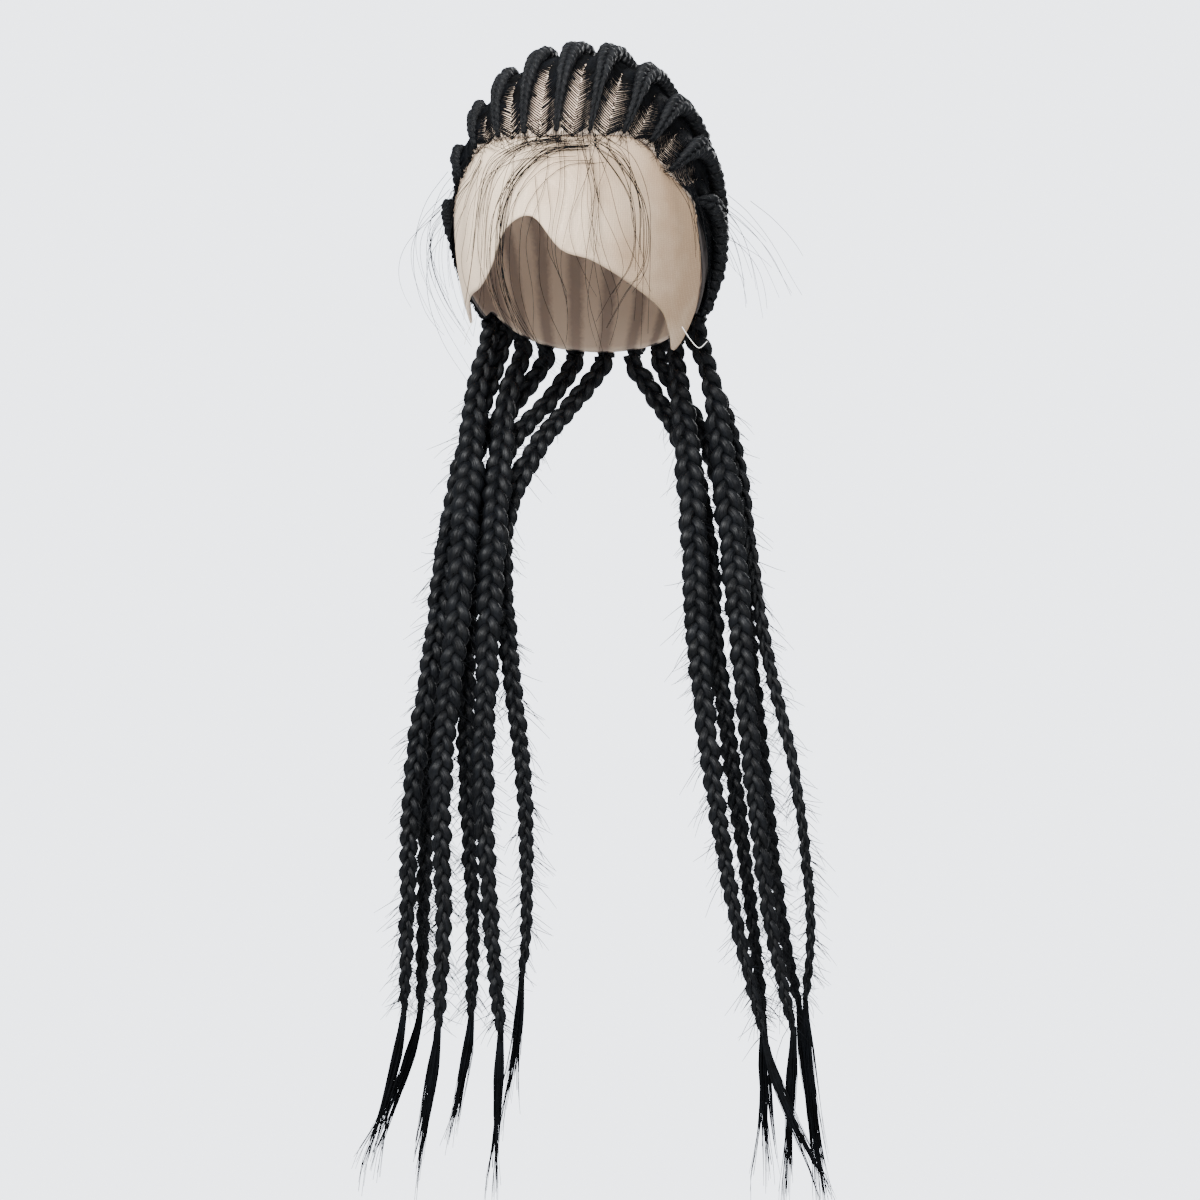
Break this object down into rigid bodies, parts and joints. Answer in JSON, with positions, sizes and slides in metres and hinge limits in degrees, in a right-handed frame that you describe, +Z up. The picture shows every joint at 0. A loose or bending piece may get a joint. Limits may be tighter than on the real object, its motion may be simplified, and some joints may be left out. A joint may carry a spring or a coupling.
{
  "type": "braid wig",
  "caption": "Lace front braid wig: straight-back cornrows over a lace cap run on into long three-strand plaits with loose tips, worn forward over both shoulders.",
  "frame": {"origin": "inner apex of the crown, where the cap sits on a head", "axes": "+Z up, -Y towards the front of the wig, +X towards the wearer's left"},
  "size_m": [0.2736, 0.2114, 0.697],
  "materials": {
    "scalp_lace": "fine lace mesh, light beige, matt, with dark hair at the partings",
    "sheer_lace": "sheer cream lace, matt",
    "plaited_hair": "near black synthetic hair, soft sheen",
    "loose_hair": "near black loose hair, soft sheen"
  },
  "bodies": {
    "root": {"cap": "scalp_lace", "lace_front": "sheer_lace", "cornrow_1": "plaited_hair", "braid_1": "plaited_hair", "tip_1": "loose_hair", "cornrow_2": "plaited_hair", "braid_2": "plaited_hair", "tip_2": "loose_hair", "cornrow_3": "plaited_hair", "braid_3": "plaited_hair", "tip_3": "loose_hair", "cornrow_4": "plaited_hair", "braid_4": "plaited_hair", "tip_4": "loose_hair", "cornrow_5": "plaited_hair", "braid_5": "plaited_hair", "tip_5": "loose_hair", "cornrow_6": "plaited_hair", "braid_6": "plaited_hair", "tip_6": "loose_hair", "cornrow_7": "plaited_hair", "braid_7": "plaited_hair", "tip_7": "loose_hair", "cornrow_8": "plaited_hair", "braid_8": "plaited_hair", "tip_8": "loose_hair", "cornrow_9": "plaited_hair", "braid_9": "plaited_hair", "tip_9": "loose_hair", "cornrow_10": "plaited_hair", "braid_10": "plaited_hair", "tip_10": "loose_hair", "cornrow_11": "plaited_hair", "braid_11": "plaited_hair", "tip_11": "loose_hair"}
  },
  "joints": []
}
